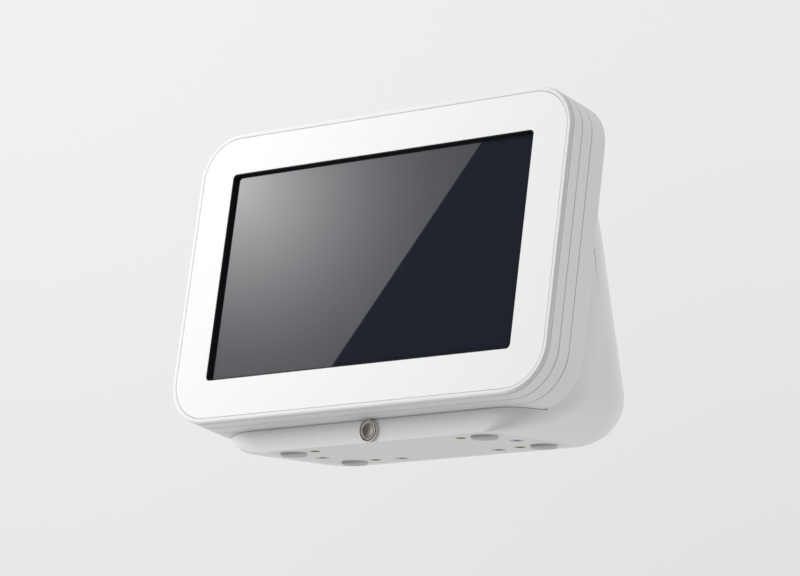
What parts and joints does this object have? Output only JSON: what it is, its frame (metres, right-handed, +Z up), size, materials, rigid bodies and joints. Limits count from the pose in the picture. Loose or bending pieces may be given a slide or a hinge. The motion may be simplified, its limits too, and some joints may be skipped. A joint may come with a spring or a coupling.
{
  "type": "touchscreen kiosk",
  "caption": "Counter-top touchscreen kiosk: a thick rounded screen head leaning back on a hollow wedge stand, with a metal push button under the screen.",
  "frame": {"origin": "centre of the footprint on the surface the feet stand on", "axes": "+Z up; the screen faces -Y; +X to the viewer's right when facing the screen; X = 0 is the plane of symmetry"},
  "size_m": [0.1924, 0.0818, 0.1384],
  "materials": {
    "shell_white": "fine satin moulded",
    "frame_grey": "matte moulded",
    "gasket_black": "matte",
    "screen_glass": "polished",
    "display_dark": "gloss",
    "diffuser_white": "matte",
    "sheet_steel": "zinc plated",
    "screw_steel": "zinc plated",
    "circuit_board": "solder mask",
    "chip_black": "matte",
    "shield_tin": "tinned",
    "cooler_aluminium": "anodised",
    "ribbon_film": "film",
    "foot_rubber": "matte",
    "insert_brass": "machined",
    "speaker_black": "matte",
    "cable_grey": "matte",
    "button_ring_chrome": "polished",
    "button_nickel": "satin nickel"
  },
  "bodies": {
    "kiosk": {"front_panel": "shell_white", "bezel_ring": "shell_white", "side_band_front": "shell_white", "side_band_middle": "shell_white", "head_rear_cover": "shell_white", "stand_shell": "shell_white", "chassis": "frame_grey", "screen_gasket": "gasket_black", "touch_glass": "screen_glass", "touch_film": "screen_glass", "lcd_cell": "display_dark", "lcd_backlight": "diffuser_white", "lcd_frame": "sheet_steel", "lcd_bracket": "sheet_steel", "base_plate": "sheet_steel", "ballast_weights": "sheet_steel", "cover_screws": "screw_steel", "board_screws": "screw_steel", "base_screws": "screw_steel", "board_spacers": "screw_steel", "button_nut": "screw_steel", "button_washer": "screw_steel", "button_spring": "screw_steel", "main_board": "circuit_board", "io_board": "circuit_board", "antenna": "circuit_board", "board_parts": "chip_black", "port_plate": "chip_black", "switch_body": "chip_black", "lock_slot_liner": "chip_black", "radio_module": "shield_tin", "network_jack": "shield_tin", "service_port": "shield_tin", "heat_spreader": "cooler_aluminium", "display_ribbon": "ribbon_film", "touch_ribbon": "ribbon_film", "rubber_feet": "foot_rubber", "threaded_inserts": "insert_brass", "speaker": "speaker_black", "link_cable": "cable_grey", "switch_leads": "cable_grey", "button_bezel": "button_ring_chrome"},
    "button": {"button_cap": "button_nickel"}
  },
  "joints": [
    {"name": "button_press", "type": "slide", "parent": "kiosk", "child": "button", "axis": [0, 1, 0], "range_m": [0, 0.0012], "stiffness_N_per_m": 1200, "springref_m": -0.001}
  ]
}
